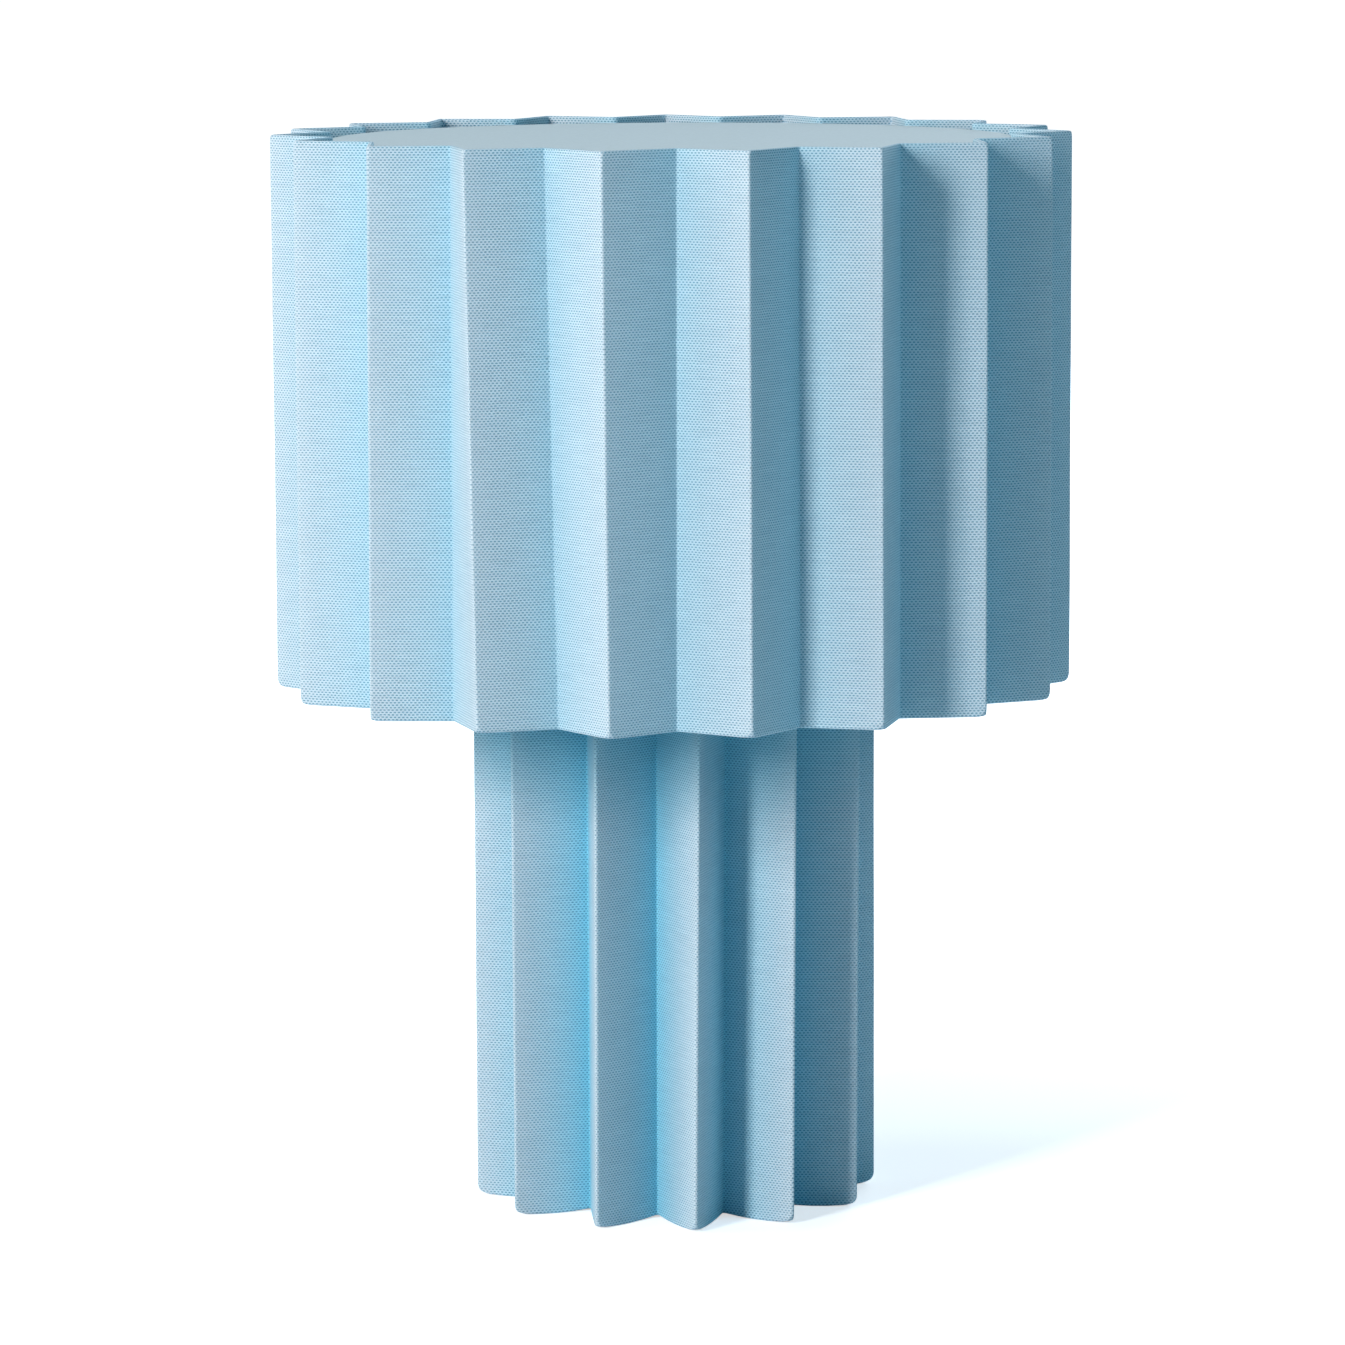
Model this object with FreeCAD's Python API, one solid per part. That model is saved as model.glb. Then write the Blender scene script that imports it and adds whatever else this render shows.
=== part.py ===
"""Table lamp: a pleated fabric drum shade on a pleated star-section column.

Millimetres, +Z up. The origin is on the table, on the lamp's axis, and the front is -Y.
Fold angles are measured from the front, anticlockwise seen from above.
"""
import FreeCAD
import Part
import math
import os
from FreeCAD import Vector

# Shade
shade_pleats = 19
shade_ridge_r = 160.0
shade_valley_r = 139.5
shade_height = 222.0
shade_bottom_z = 210.0
shade_turn_deg = -8.7
shade_spread_deg = 1.3

# Column
column_pleats = 12
column_ridge_r = 81.0
column_valley_r = 55.0
column_turn_deg = 6.4
column_spread_deg = -2.4
column_lift = 1.0

# Pleated wall: cloth glued to a stiff liner and turned over at both edges
fabric_t = 0.5
glue_t = 0.15
liner_t = 0.8
inner_fold_r = 0.5
hem_depth = 10.0

# Diffuser and the wire frame of the shade
disc_t = 3.0
disc_recess = 2.5
disc_gap = 0.8
disc_rest_gap = 0.3
disc_edge = 0.5
wire_d = 4.0
frame_gap = 0.2
bottom_ring_inset = 14.0
arm_count = 3
arm_turn_deg = 0.0
arm_clearance = 12.0
arm_bend_r = 14.0
fitter_r = 30.0
fitter_t = 2.0

# Bulb
bulb_length = 105.0
bulb_r = 30.0
bulb_headroom = 36.0
bulb_glass_t = 1.0
bulb_neck_h = 5.0
bulb_neck_depth = 8.0
bulb_cap_r = 13.05
bulb_cap_h = 18.0
bulb_cap_t = 0.4
bulb_cap_foot = 2.0
bulb_insulator_r = 11.6
bulb_insulator_low_r = 6.0
bulb_insulator_h = 5.0
bulb_tip_r = 4.75
bulb_tip_flat_r = 3.5
bulb_tip_h = 1.6
bulb_gap = 0.3

# Lamp holder
holder_r = 20.5
holder_wall = 2.0
holder_neck_r = 8.0
holder_neck_h = 7.0
holder_cap_h = 22.0
holder_floor_t = 2.5
skirt_r = 19.65
skirt_bore_r = 15.5
skirt_h = 34.0
skirt_collar_h = 4.0
skirt_spigot_h = 6.0
ledge_r = 12.0
ledge_t = 2.0
core_h = 12.0
shell_t = 0.5
shell_h = 20.0
shell_gap = 0.5
shell_foot_r = 10.0
tongue_t = 0.5
tongue_rise = 4.0
tongue_width = 6.0
tongue_back = 9.0
tongue_front = 3.0
terminal_x = 8.0
terminal_head_r = 2.8
terminal_head_h = 2.2
terminal_shank_r = 1.5
terminal_shank_h = 6.0
shade_ring_r = 27.0
shade_ring_h = 5.0
shade_ring_lip = 2.0
holder_gap = 0.2

# Stem
stem_r = 5.0
stem_wall = 1.0
stem_entry = 9.0
stem_foot_gap = 2.0
nut_flats = 14.0
nut_t = 5.0
washer_r = 11.0
washer_t = 1.5
thread_gap = 0.1
hole_gap = 0.3

# Foot and top plate of the column
felt_t = 2.0
felt_inset = 2.0
board_t = 18.0
board_gap = 0.3
board_tip_r = 4.0
pocket_r = 14.0
pocket_gap = 0.5
weight_t = 12.0
weight_gap = 5.0
weight_edge = 1.5
plate_t = 6.0
plate_recess = 2.0
bush_bore_r = 3.5
bush_wall = 2.0
bush_gap = 0.3
bush_lift = 0.8
bush_inside = 9.0
bush_outside = 6.0
bush_nose = 1.0

# Worked out: the layers of the wall, in from the face of the cloth
wall_t = fabric_t + glue_t + liner_t
hem_t = wall_t + glue_t + fabric_t
fold_r = wall_t + inner_fold_r
wire_r = wire_d / 2

# Worked out: levels, from the top of the shade down to the column
shade_top_z = shade_bottom_z + shade_height
disc_z = shade_top_z - disc_recess - disc_t
top_ring_z = disc_z - disc_rest_gap - wire_r
bottom_ring_z = shade_bottom_z + bottom_ring_inset
bulb_tip_z = disc_z - bulb_headroom - bulb_length
core_top_z = bulb_tip_z - bulb_gap - tongue_rise
core_z = core_top_z - core_h
ledge_z = core_z - ledge_t
skirt_z = ledge_z + skirt_spigot_h
fitter_z = skirt_z + skirt_collar_h + shade_ring_h
holder_z = skirt_z - holder_cap_h
plate_top_z = holder_z - nut_t - washer_t
plate_z = plate_top_z - plate_t
column_top_z = plate_top_z + plate_recess

# Worked out: levels, from the table up
board_z = felt_t
board_top_z = board_z + board_t
weight_top_z = board_top_z + weight_t
stem_z = felt_t + stem_foot_gap
pocket_z = stem_z + pocket_gap + nut_t + washer_t
bush_r = bush_bore_r + bush_wall
bush_z = felt_t + bush_lift + bush_r

# Worked out: radii that one piece takes from another
shade_inside_r = shade_valley_r - hem_t
disc_r = shade_inside_r - disc_gap
ring_r = shade_inside_r - frame_gap - wire_r
shade_ring_bore_r = skirt_r + holder_gap
stem_hole_r = stem_r + hole_gap
nut_bore_r = stem_r + thread_gap
shell_bore_r = bulb_cap_r + shell_gap

shade_pleat = (shade_pleats, shade_ridge_r, shade_valley_r, shade_turn_deg, shade_spread_deg)
column_pleat = (column_pleats, column_ridge_r, column_valley_r, column_turn_deg, column_spread_deg)

UP = Vector(0, 0, 1)


def heading(angle):
    """Level direction at an angle from the front."""
    return Vector(math.sin(angle), -math.cos(angle), 0)


def fold_angle(pleat, index):
    """Angle of a fold: whole numbers are ridges, halves are valleys."""
    count, ridge_r, valley_r, turn_deg, spread_deg = pleat
    even = math.radians(turn_deg) + 2 * math.pi * index / count
    return even + math.radians(spread_deg) * math.sin(even)


def panel_normal(ridge, valley, side):
    """Outward normal of the flat panel that runs round one fold centre and on to the other."""
    run = valley - ridge
    along = (fold_r + inner_fold_r) / run.Length
    run.normalize()
    return run * along + run.cross(UP) * side * math.sqrt(1 - along * along)


def bend(centre, first, last, radius):
    """Arc round a fold, from one panel's normal to the next."""
    middle = (first + last).normalize()
    return Part.Arc(centre + first * radius, centre + middle * radius, centre + last * radius)


def pleat_wire(pleat, depth, z, tip_r):
    """Closed outline of a pleated wall, at a depth in from the cloth's face.

    Each fold is an arc about its own centre and each panel is tangent to two of them, so that
    outlines at different depths are parallel. Ridges are never sharper than tip_r.
    """
    count, ridge_r, valley_r, turn_deg, spread_deg = pleat
    ridges = [heading(fold_angle(pleat, k)) * (ridge_r - fold_r) for k in range(count)]
    valleys = [heading(fold_angle(pleat, k + 0.5)) * (valley_r + inner_fold_r) for k in range(count)]
    falling = [panel_normal(ridges[k], valleys[k], 1) for k in range(count)]
    rising = [panel_normal(ridges[(k + 1) % count], valleys[k], -1) for k in range(count)]
    left = fold_r - depth
    ridge_bend_r = max(left, tip_r)
    bends = []
    for k in range(count):
        middle = (rising[k - 1] + falling[k]).normalize()
        centre = ridges[k] + middle * ((left - ridge_bend_r) / middle.dot(falling[k]))
        bends.append(bend(centre, rising[k - 1], falling[k], ridge_bend_r))
        bends.append(bend(valleys[k], falling[k] * -1, rising[k] * -1, inner_fold_r + depth))
    edges = []
    for k, arc in enumerate(bends):
        edges.append(arc.toShape())
        edges.append(Part.makeLine(arc.EndPoint, bends[(k + 1) % len(bends)].StartPoint))
    outline = Part.Wire(edges)
    outline.translate(UP * z)
    return outline


def pleat_ring(pleat, outer, inner, low, high):
    """Upright pleated wall between two depths and two levels."""
    wires = [pleat_wire(pleat, depth, low, inner_fold_r / 2) for depth in (outer, inner)]
    return Part.makeFace(wires, "Part::FaceMakerBullseye").extrude(UP * (high - low))


def pleat_cloth(pleat, low, high):
    """Cloth over the outside of a liner, turned over both edges and down inside as a hem."""
    skin = pleat_ring(pleat, 0, fabric_t, low + fabric_t, high - fabric_t)
    pieces = []
    for edge, hem in ((low, low + fabric_t), (high - fabric_t, high - hem_depth)):
        pieces.append(pleat_ring(pleat, 0, hem_t, edge, edge + fabric_t))
        pieces.append(pleat_ring(pleat, hem_t - fabric_t, hem_t, hem, hem + hem_depth - fabric_t))
    return skin.multiFuse(pieces).removeSplitter()


def pleat_liner(pleat, low, high):
    """Stiff liner inside the cloth and between its two hems."""
    edge = fabric_t + glue_t
    return pleat_ring(pleat, edge, wall_t, low + edge, high - edge)


def star_plate(pleat, inset, tip_r, low, thickness):
    """Flat plate that follows the pleats from inside, with rounded points."""
    return Part.Face(pleat_wire(pleat, hem_t + inset, low, tip_r)).extrude(UP * thickness)


def tube(radius, bore, low, height):
    """Upright round tube or ring."""
    return rod(radius, low, height).cut(rod(bore, low, height))


def rod(radius, low, height):
    """Upright round bar."""
    return Part.makeCylinder(radius, height, UP * low)


def turned(edges):
    """Solid of revolution about the lamp's axis, from the edges of its half section."""
    return Part.Face(Part.Wire(edges)).revolve(Vector(0, 0, 0), UP, 360)


def section(points):
    """Straight edges through the points (radius, level) of a half section, and back to the first."""
    corners = [Vector(r, 0, z) for r, z in points]
    return [Part.makeLine(a, b) for a, b in zip(corners, corners[1:] + corners[:1])]


def save(name, shape):
    """Write one piece."""
    shape.exportStep("parts/" + name + ".step")
    print(name, len(shape.Solids), "solid", round(shape.Volume), "mm3")


os.makedirs("parts", exist_ok=True)

# Shade: pleated cloth and liner
save("shade_fabric", pleat_cloth(shade_pleat, shade_bottom_z, shade_top_z))
save("shade_liner", pleat_liner(shade_pleat, shade_bottom_z, shade_top_z))

# Shade frame: two wire rings in the valleys, three bent arms and the fitter
save("shade_top_ring", Part.makeTorus(ring_r, wire_r, UP * top_ring_z))
save("shade_bottom_ring", Part.makeTorus(ring_r, wire_r, UP * bottom_ring_z))
save("shade_fitter", tube(fitter_r, shade_ring_bore_r, fitter_z, fitter_t))

arm_z = fitter_z + fitter_t / 2
arm_start = Vector(fitter_r + frame_gap, 0, arm_z)
arm_knee = Vector(column_ridge_r + arm_clearance, 0, arm_z)
arm_fall = (Vector(ring_r, 0, bottom_ring_z) - arm_knee).normalize()
arm_end = Vector(ring_r, 0, bottom_ring_z) - arm_fall * (wire_r + frame_gap)
arm_half_turn = arm_fall.getAngle(Vector(1, 0, 0)) / 2
arm_before = arm_knee - Vector(1, 0, 0) * arm_bend_r * math.tan(arm_half_turn)
arm_after = arm_knee + arm_fall * arm_bend_r * math.tan(arm_half_turn)
arm_inward = (arm_fall - Vector(1, 0, 0)).normalize()
arm_middle = arm_knee + arm_inward * arm_bend_r * (1 / math.cos(arm_half_turn) - 1)
arm_path = Part.Wire([
    Part.makeLine(arm_start, arm_before),
    Part.Arc(arm_before, arm_middle, arm_after).toShape(),
    Part.makeLine(arm_after, arm_end),
])
arm_section = Part.Wire(Part.makeCircle(wire_r, arm_start, Vector(1, 0, 0)))
arm = arm_path.makePipeShell([arm_section], True, False)
arms = []
for k in range(arm_count):
    placed = arm.copy()
    placed.rotate(Vector(0, 0, 0), UP, arm_turn_deg - 90 + 360 * k / arm_count)
    arms.append(placed)
save("shade_arms", Part.makeCompound(arms))

# Diffuser: a loose disc on the top ring
disc = rod(disc_r, disc_z, disc_t)
save("top_diffuser", disc.makeChamfer(disc_edge, [e for e in disc.Edges if e.Closed]))

# Lamp holder: cap, skirt, core, screw shell, tongue and terminal screws
cap_bore_r = holder_r - holder_wall
cap_cone_z = skirt_z - skirt_spigot_h
cap_floor_z = holder_z + holder_neck_h + holder_floor_t
save("holder_cap", turned(section([
    (nut_bore_r, holder_z),
    (holder_neck_r, holder_z),
    (holder_neck_r, holder_z + holder_neck_h),
    (holder_r, cap_cone_z),
    (holder_r, skirt_z),
    (cap_bore_r, skirt_z),
    (cap_bore_r, cap_cone_z),
    (nut_bore_r + holder_wall, cap_floor_z),
    (nut_bore_r, cap_floor_z),
])))

spigot_r = cap_bore_r - holder_gap
collar_z = skirt_z + skirt_collar_h
skirt_top_z = skirt_z + skirt_h
save("holder_skirt", turned(section([
    (ledge_r, ledge_z),
    (spigot_r, ledge_z),
    (spigot_r, skirt_z),
    (holder_r, skirt_z),
    (holder_r, collar_z),
    (skirt_r, collar_z),
    (skirt_r, skirt_top_z),
    (skirt_bore_r, skirt_top_z),
    (skirt_bore_r, core_z),
    (ledge_r, core_z),
])))

core = rod(skirt_bore_r - holder_gap, core_z, core_h)
terminals = []
for x in (-terminal_x, terminal_x):
    shank_hole = rod(terminal_shank_r + holder_gap, core_z, terminal_shank_h + holder_gap)
    shank_hole.translate(Vector(x, 0, 0))
    core = core.cut(shank_hole)
    screw = rod(terminal_head_r, core_z - terminal_head_h, terminal_head_h)
    screw = screw.fuse(rod(terminal_shank_r, core_z, terminal_shank_h)).removeSplitter()
    screw.translate(Vector(x, 0, 0))
    terminals.append(screw)
save("holder_core", core)
save("terminal_screws", Part.makeCompound(terminals))

shell_r = shell_bore_r + shell_t
save("holder_screw_shell", turned(section([
    (shell_foot_r, core_top_z),
    (shell_r, core_top_z),
    (shell_r, core_top_z + shell_h),
    (shell_bore_r, core_top_z + shell_h),
    (shell_bore_r, core_top_z + shell_t),
    (shell_foot_r, core_top_z + shell_t),
])))

tongue_top_z = core_top_z + tongue_rise
tongue_foot_x = -tongue_back / 2
tongue = Part.Face(Part.Wire(section([
    (-tongue_back, core_top_z),
    (tongue_foot_x, core_top_z),
    (-tongue_t, tongue_top_z - tongue_t),
    (tongue_front, tongue_top_z - tongue_t),
    (tongue_front, tongue_top_z),
    (-2 * tongue_t, tongue_top_z),
    (tongue_foot_x - tongue_t, core_top_z + tongue_t),
    (-tongue_back, core_top_z + tongue_t),
])))
tongue.translate(Vector(0, -tongue_width / 2, 0))
save("holder_contact", tongue.extrude(Vector(0, tongue_width, 0)))

# Shade rings: one under the fitter and one over it, each with a lip for the fingers
for name, low, lip_z in (
    ("shade_seat_ring", fitter_z - shade_ring_h, fitter_z - shade_ring_lip),
    ("shade_clamp_ring", fitter_z + fitter_t, fitter_z + fitter_t),
):
    sleeve = tube((shade_ring_bore_r + shade_ring_r) / 2, shade_ring_bore_r, low, shade_ring_h)
    lip = tube(shade_ring_r, shade_ring_bore_r, lip_z, shade_ring_lip)
    save(name, sleeve.fuse(lip).removeSplitter())

# Bulb: tip, insulator, cap and glass
insulator_z = bulb_tip_z + bulb_tip_h + bulb_gap
cap_z = insulator_z + bulb_insulator_h
cap_top_z = cap_z + bulb_cap_h
save("bulb_contact", turned(section([
    (0, bulb_tip_z),
    (bulb_tip_flat_r, bulb_tip_z),
    (bulb_tip_r, bulb_tip_z + bulb_tip_h / 2),
    (bulb_tip_r, bulb_tip_z + bulb_tip_h),
    (0, bulb_tip_z + bulb_tip_h),
])))
save("bulb_insulator", turned(section([
    (0, insulator_z),
    (bulb_insulator_low_r, insulator_z),
    (bulb_insulator_r, cap_z),
    (0, cap_z),
])))
cap_in_r = bulb_cap_r - bulb_cap_t
cap_foot_r = bulb_insulator_r - bulb_cap_foot
save("bulb_cap", turned(section([
    (cap_foot_r, cap_z),
    (bulb_cap_r, cap_z),
    (bulb_cap_r, cap_top_z),
    (cap_in_r, cap_top_z),
    (cap_in_r, cap_z + bulb_cap_t),
    (cap_foot_r, cap_z + bulb_cap_t),
])))

neck_r = cap_in_r - holder_gap
neck_z = cap_top_z - bulb_neck_depth
flare_z = cap_top_z + bulb_neck_h
globe_z = bulb_tip_z + bulb_length - bulb_r
flare_rise = globe_z - flare_z
flare_r = (neck_r * neck_r + flare_rise * flare_rise - bulb_r * bulb_r) / (2 * (bulb_r - neck_r))
flare_centre = Vector(neck_r + flare_r, 0, flare_z)
globe_centre = Vector(0, 0, globe_z)
to_flare = (flare_centre - globe_centre).normalize()
flare_middle = (Vector(-1, 0, 0) - to_flare).normalize()
globe_middle = (to_flare + UP).normalize()
outline = []
for inset in (0, bulb_glass_t):
    globe_r = bulb_r - inset
    bottom = Vector(neck_r - inset, 0, neck_z)
    start = Vector(neck_r - inset, 0, flare_z)
    meet = globe_centre + to_flare * globe_r
    top = globe_centre + UP * globe_r
    outline.append(Part.makeLine(bottom, start))
    outline.append(Part.Arc(start, flare_centre + flare_middle * (flare_r + inset), meet).toShape())
    outline.append(Part.Arc(meet, globe_centre + globe_middle * globe_r, top).toShape())
outline.append(Part.makeLine(Vector(neck_r, 0, neck_z), Vector(neck_r - bulb_glass_t, 0, neck_z)))
outline.append(Part.makeLine(globe_centre + UP * bulb_r, globe_centre + UP * (bulb_r - bulb_glass_t)))
save("bulb_glass", turned(Part.__sortEdges__(outline)))

# Cord bush: in the rear valley, close to the table
rear = min(range(column_pleats), key=lambda k: abs(fold_angle(column_pleat, k + 0.5) - math.pi))
rear_way = heading(fold_angle(column_pleat, rear + 0.5))
bush_start = column_valley_r - hem_t - bush_inside
bush_length = bush_inside + hem_t + bush_outside
bush_foot = rear_way * bush_start + UP * bush_z


def rear_bore(radius, start, length):
    """Round bar along the cord's way in."""
    return Part.makeCylinder(radius, length, rear_way * start + UP * bush_z, rear_way)


def rear_arch(gap, start, length):
    """Arched way for the bush, open at the table."""
    radius = bush_r + gap
    floor = Part.makeBox(length, 2 * radius, bush_z, Vector(start, -radius, 0))
    floor.rotate(Vector(0, 0, 0), UP, math.degrees(math.atan2(rear_way.y, rear_way.x)))
    return floor.fuse(rear_bore(radius, start, length))


bush = rear_bore(bush_r, bush_start, bush_length)
bush_end = bush_foot + rear_way * bush_length
bush_rim = [e for e in bush.Edges if e.CenterOfMass.distanceToPoint(bush_end) < bush_gap]
bush = bush.makeChamfer(bush_nose, bush_rim)
save("cord_bush", bush.cut(rear_bore(bush_bore_r, bush_start, bush_length)))

# Column: pleated cloth and liner, with the arch for the bush
rear_notch = rear_arch(bush_gap, bush_start, column_ridge_r - bush_start)
save("column_fabric", pleat_cloth(column_pleat, column_lift, column_top_z).cut(rear_notch))
save("column_liner", pleat_liner(column_pleat, column_lift, column_top_z).cut(rear_notch))

# Column top plate, bottom board and felt
stem_hole = rod(stem_hole_r, 0, shade_top_z)
plate = star_plate(column_pleat, board_gap, board_tip_r, plate_z, plate_t)
save("column_top_plate", plate.cut(stem_hole))
board = star_plate(column_pleat, board_gap, board_tip_r, board_z, board_t)
board = board.cut(stem_hole)
board = board.cut(rod(pocket_r, 0, pocket_z))
save("bottom_board", board.cut(rear_arch(bush_gap, 0, column_ridge_r)))
save("felt_pad", star_plate(column_pleat, board_gap + felt_inset, board_tip_r, 0, felt_t))

# Weight
weight_r = column_valley_r - hem_t - weight_gap
weight = tube(weight_r, stem_hole_r, board_top_z, weight_t)
weight_rims = [e for e in weight.Edges if e.Closed and e.Curve.Radius > stem_hole_r]
save("weight_disc", weight.makeChamfer(weight_edge, weight_rims))

# Stem with its nuts and washers
save("stem_tube", tube(stem_r, stem_r - stem_wall, stem_z, holder_z + stem_entry - stem_z))
nut_corner = Vector(nut_flats / math.sqrt(3), 0, 0)
nut_face = Part.Face(Part.makePolygon([
    FreeCAD.Rotation(UP, 60 * k).multVec(nut_corner) for k in range(7)
]))
nuts = []
washers = []
for washer_z, nut_z in (
    (pocket_z - washer_t, pocket_z - washer_t - nut_t),
    (weight_top_z, weight_top_z + washer_t),
    (plate_z - washer_t, plate_z - washer_t - nut_t),
    (plate_top_z, plate_top_z + washer_t),
):
    nut = nut_face.extrude(UP * nut_t).cut(rod(nut_bore_r, 0, nut_t))
    nut.translate(UP * nut_z)
    nuts.append(nut)
    washers.append(tube(washer_r, stem_hole_r, washer_z, washer_t))
save("stem_nuts", Part.makeCompound(nuts))
save("stem_washers", Part.makeCompound(washers))
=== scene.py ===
# %% [markdown]
# A table lamp in pale blue canvas: a pleated drum shade on a pleated, star-shaped column.
# The solids come from the CAD frame and keep their places. This lesson dresses them: it folds
# the canvas, rolls the threads, gives every surface its material, and lights the lamp as it
# stands in a studio. Lengths are metres here, so millimetre sizes are written times MM.

# %% The frame
import math
import bmesh
import bpy
from mathutils import Matrix, Vector, noise


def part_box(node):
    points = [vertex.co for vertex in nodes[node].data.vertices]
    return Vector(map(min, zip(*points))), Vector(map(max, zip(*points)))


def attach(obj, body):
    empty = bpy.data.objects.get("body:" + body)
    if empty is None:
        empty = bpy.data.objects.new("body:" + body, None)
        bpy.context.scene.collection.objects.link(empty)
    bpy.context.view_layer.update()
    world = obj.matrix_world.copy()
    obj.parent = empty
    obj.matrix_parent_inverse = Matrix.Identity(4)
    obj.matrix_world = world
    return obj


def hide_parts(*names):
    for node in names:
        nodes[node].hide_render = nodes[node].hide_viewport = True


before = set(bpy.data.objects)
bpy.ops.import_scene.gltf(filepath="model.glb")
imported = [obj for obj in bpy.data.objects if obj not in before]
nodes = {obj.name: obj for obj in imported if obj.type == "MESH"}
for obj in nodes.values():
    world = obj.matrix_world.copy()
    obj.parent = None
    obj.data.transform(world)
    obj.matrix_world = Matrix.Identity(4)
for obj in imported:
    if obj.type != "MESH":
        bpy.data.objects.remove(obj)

MM = 0.001
scene = bpy.context.scene
scene.view_settings.view_transform = "Standard"
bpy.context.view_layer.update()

# %% [markdown]
# Three helpers serve every material. Colours are given as sRGB hex values, but a shader
# adds light in linear values, so one function converts them. Another adds a node with its
# settings and links, which keeps a material's recipe readable from top to bottom. The third
# starts a material and hands over what the other two need.

# %% Colours and nodes
def paint(hex_colour):
    """A colour as a shader wants it, from an sRGB hex value."""
    shares = [int(hex_colour[i:i + 2], 16) / 255 for i in (0, 2, 4)]
    return [s / 12.92 if s <= 0.04045 else ((s + 0.055) / 1.055) ** 2.4 for s in shares] + [1.0]


def put(tree, kind, inputs=None, **settings):
    """One node in a tree. Each input is a value, or a socket to link from."""
    made = tree.nodes.new(kind)
    for name, value in settings.items():
        setattr(made, name, value)
    for key, value in (inputs or {}).items():
        if isinstance(value, bpy.types.NodeSocket):
            tree.links.new(value, made.inputs[key])
        else:
            made.inputs[key].default_value = value
    return made


def surface(name):
    """A new material, its node tree and its main shader."""
    made = bpy.data.materials.new(name)
    made.use_nodes = True
    return made, made.node_tree, made.node_tree.nodes["Principled BSDF"]


print("canvas blue in linear light:", [round(v, 3) for v in paint("bcdcec")[:3]])

# %% [markdown]
# The camera stands 2.3 m in front of the lamp and a little above it, with a long lens, so the
# drum hardly narrows with distance. Its height, pitch and lens come from the outline of the
# pleats: the ellipse of the rims gives the pitch, and the width across gives the lens.

# %% Camera
frame_px = 1345
lens_px = 5695
film_mm = 36
eye = Vector((-0.0004, -2.287, 0.5364))
down_deg = 8.042
roll_deg = -0.26

camera = bpy.data.objects.new("camera", bpy.data.cameras.new("camera"))
scene.collection.objects.link(camera)
camera.data.sensor_width = film_mm
camera.data.lens = film_mm * lens_px / frame_px
camera.data.clip_end = 100
pitch = Matrix.Rotation(math.radians(90 - down_deg), 4, "X")
roll = Matrix.Rotation(math.radians(roll_deg), 4, "Z")
camera.matrix_world = Matrix.Translation(eye) @ pitch @ roll
scene.camera = camera
print("lens", round(camera.data.lens, 1), "mm")

# %% [markdown]
# A studio sweep is a sheet of paper that hides where floor turns into wall. Here the floor is
# a large pale plane and the world behind it is white, so the two meet without a line. What
# the camera sees of both is brought up to white without lighting the lamp any more, and the
# floor still darkens where the lamp keeps light off it.

# %% Floor
def seen_rays(tree):
    """One for rays that look at the backdrop, straight or by way of metal or glass, else zero."""
    path = put(tree, "ShaderNodeLightPath").outputs
    seen = path["Is Camera Ray"]
    for name in ("Is Glossy Ray", "Is Transmission Ray"):
        seen = put(tree, "ShaderNodeMath", {0: seen, 1: path[name]}, operation="MAXIMUM").outputs[0]
    return seen


paper_side = 8
paper_back = 24
# Near the foot the floor is lifted less, so the shadow shows there, and further out up to white.
lift_near, lift_far = 0.15, 0.8
lift_low, lift_full = 0.62, 1.0

floor_mesh = bpy.data.meshes.new("paper_floor")
floor_mesh.from_pydata([(-paper_side, -paper_side, 0), (paper_side, -paper_side, 0),
                        (paper_side, paper_back, 0), (-paper_side, paper_back, 0)], [], [(0, 1, 2, 3)])
floor = bpy.data.objects.new("paper_floor", floor_mesh)
scene.collection.objects.link(floor)

# Uncoated background paper: dry, with hardly any sheen.
paper, tree, shader = surface("white_background_paper")
shader.inputs["Base Color"].default_value = paint("dcecf4")
shader.inputs["Roughness"].default_value = 0.9
shader.inputs["Specular IOR Level"].default_value = 0.1
place = put(tree, "ShaderNodeNewGeometry").outputs["Position"]
away = put(tree, "ShaderNodeVectorMath", {0: place}, operation="LENGTH").outputs["Value"]
glow = put(tree, "ShaderNodeMapRange", {0: away, 1: lift_near, 2: lift_far, 3: lift_low, 4: lift_full})
lift = put(tree, "ShaderNodeEmission", {"Color": paint("ffffff"), "Strength": glow.outputs[0]})
both = put(tree, "ShaderNodeAddShader", {0: shader.outputs[0], 1: lift.outputs[0]})
pick = put(tree, "ShaderNodeMixShader", {0: seen_rays(tree), 1: shader.outputs[0], 2: both.outputs[0]})
tree.links.new(pick.outputs[0], tree.nodes["Material Output"].inputs["Surface"])
floor_mesh.materials.append(paper)
print("floor", [round(v) for v in floor.dimensions], "m")

# %% [markdown]
# The room beyond the paper gives a little cool light from all round, as pale blue walls would.
# A dome of light could do all the lighting, but then nothing would shape the pleats, so it
# stays weak here and the lamps below do that.

# %% World
world = bpy.data.worlds.new("studio")
world.use_nodes = True
scene.world = world
tree = world.node_tree
tree.nodes.clear()
room = put(tree, "ShaderNodeBackground", {"Color": paint("aae7ff"), "Strength": 0.04})
white = put(tree, "ShaderNodeBackground", {"Color": paint("ffffff"), "Strength": 1.0})
pick = put(tree, "ShaderNodeMixShader", {0: seen_rays(tree), 1: room.outputs[0], 2: white.outputs[0]})
put(tree, "ShaderNodeOutputWorld", {"Surface": pick.outputs[0]})
print("world", len(tree.nodes), "nodes")

# %% [markdown]
# The pleats read as light and dark stripes because one upright softbox stands to the left of
# the camera: panels that face it are pale, panels that turn away are deep blue. Its low height
# is why the shade drops a soft shadow on the column. Weaker softboxes fill the left, the right
# and the rear, so that no side goes black, and a wide one overhead fills the top.

# %% Lamps of the studio
lamp_middle = Vector((0, 0, 0.26))


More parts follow.
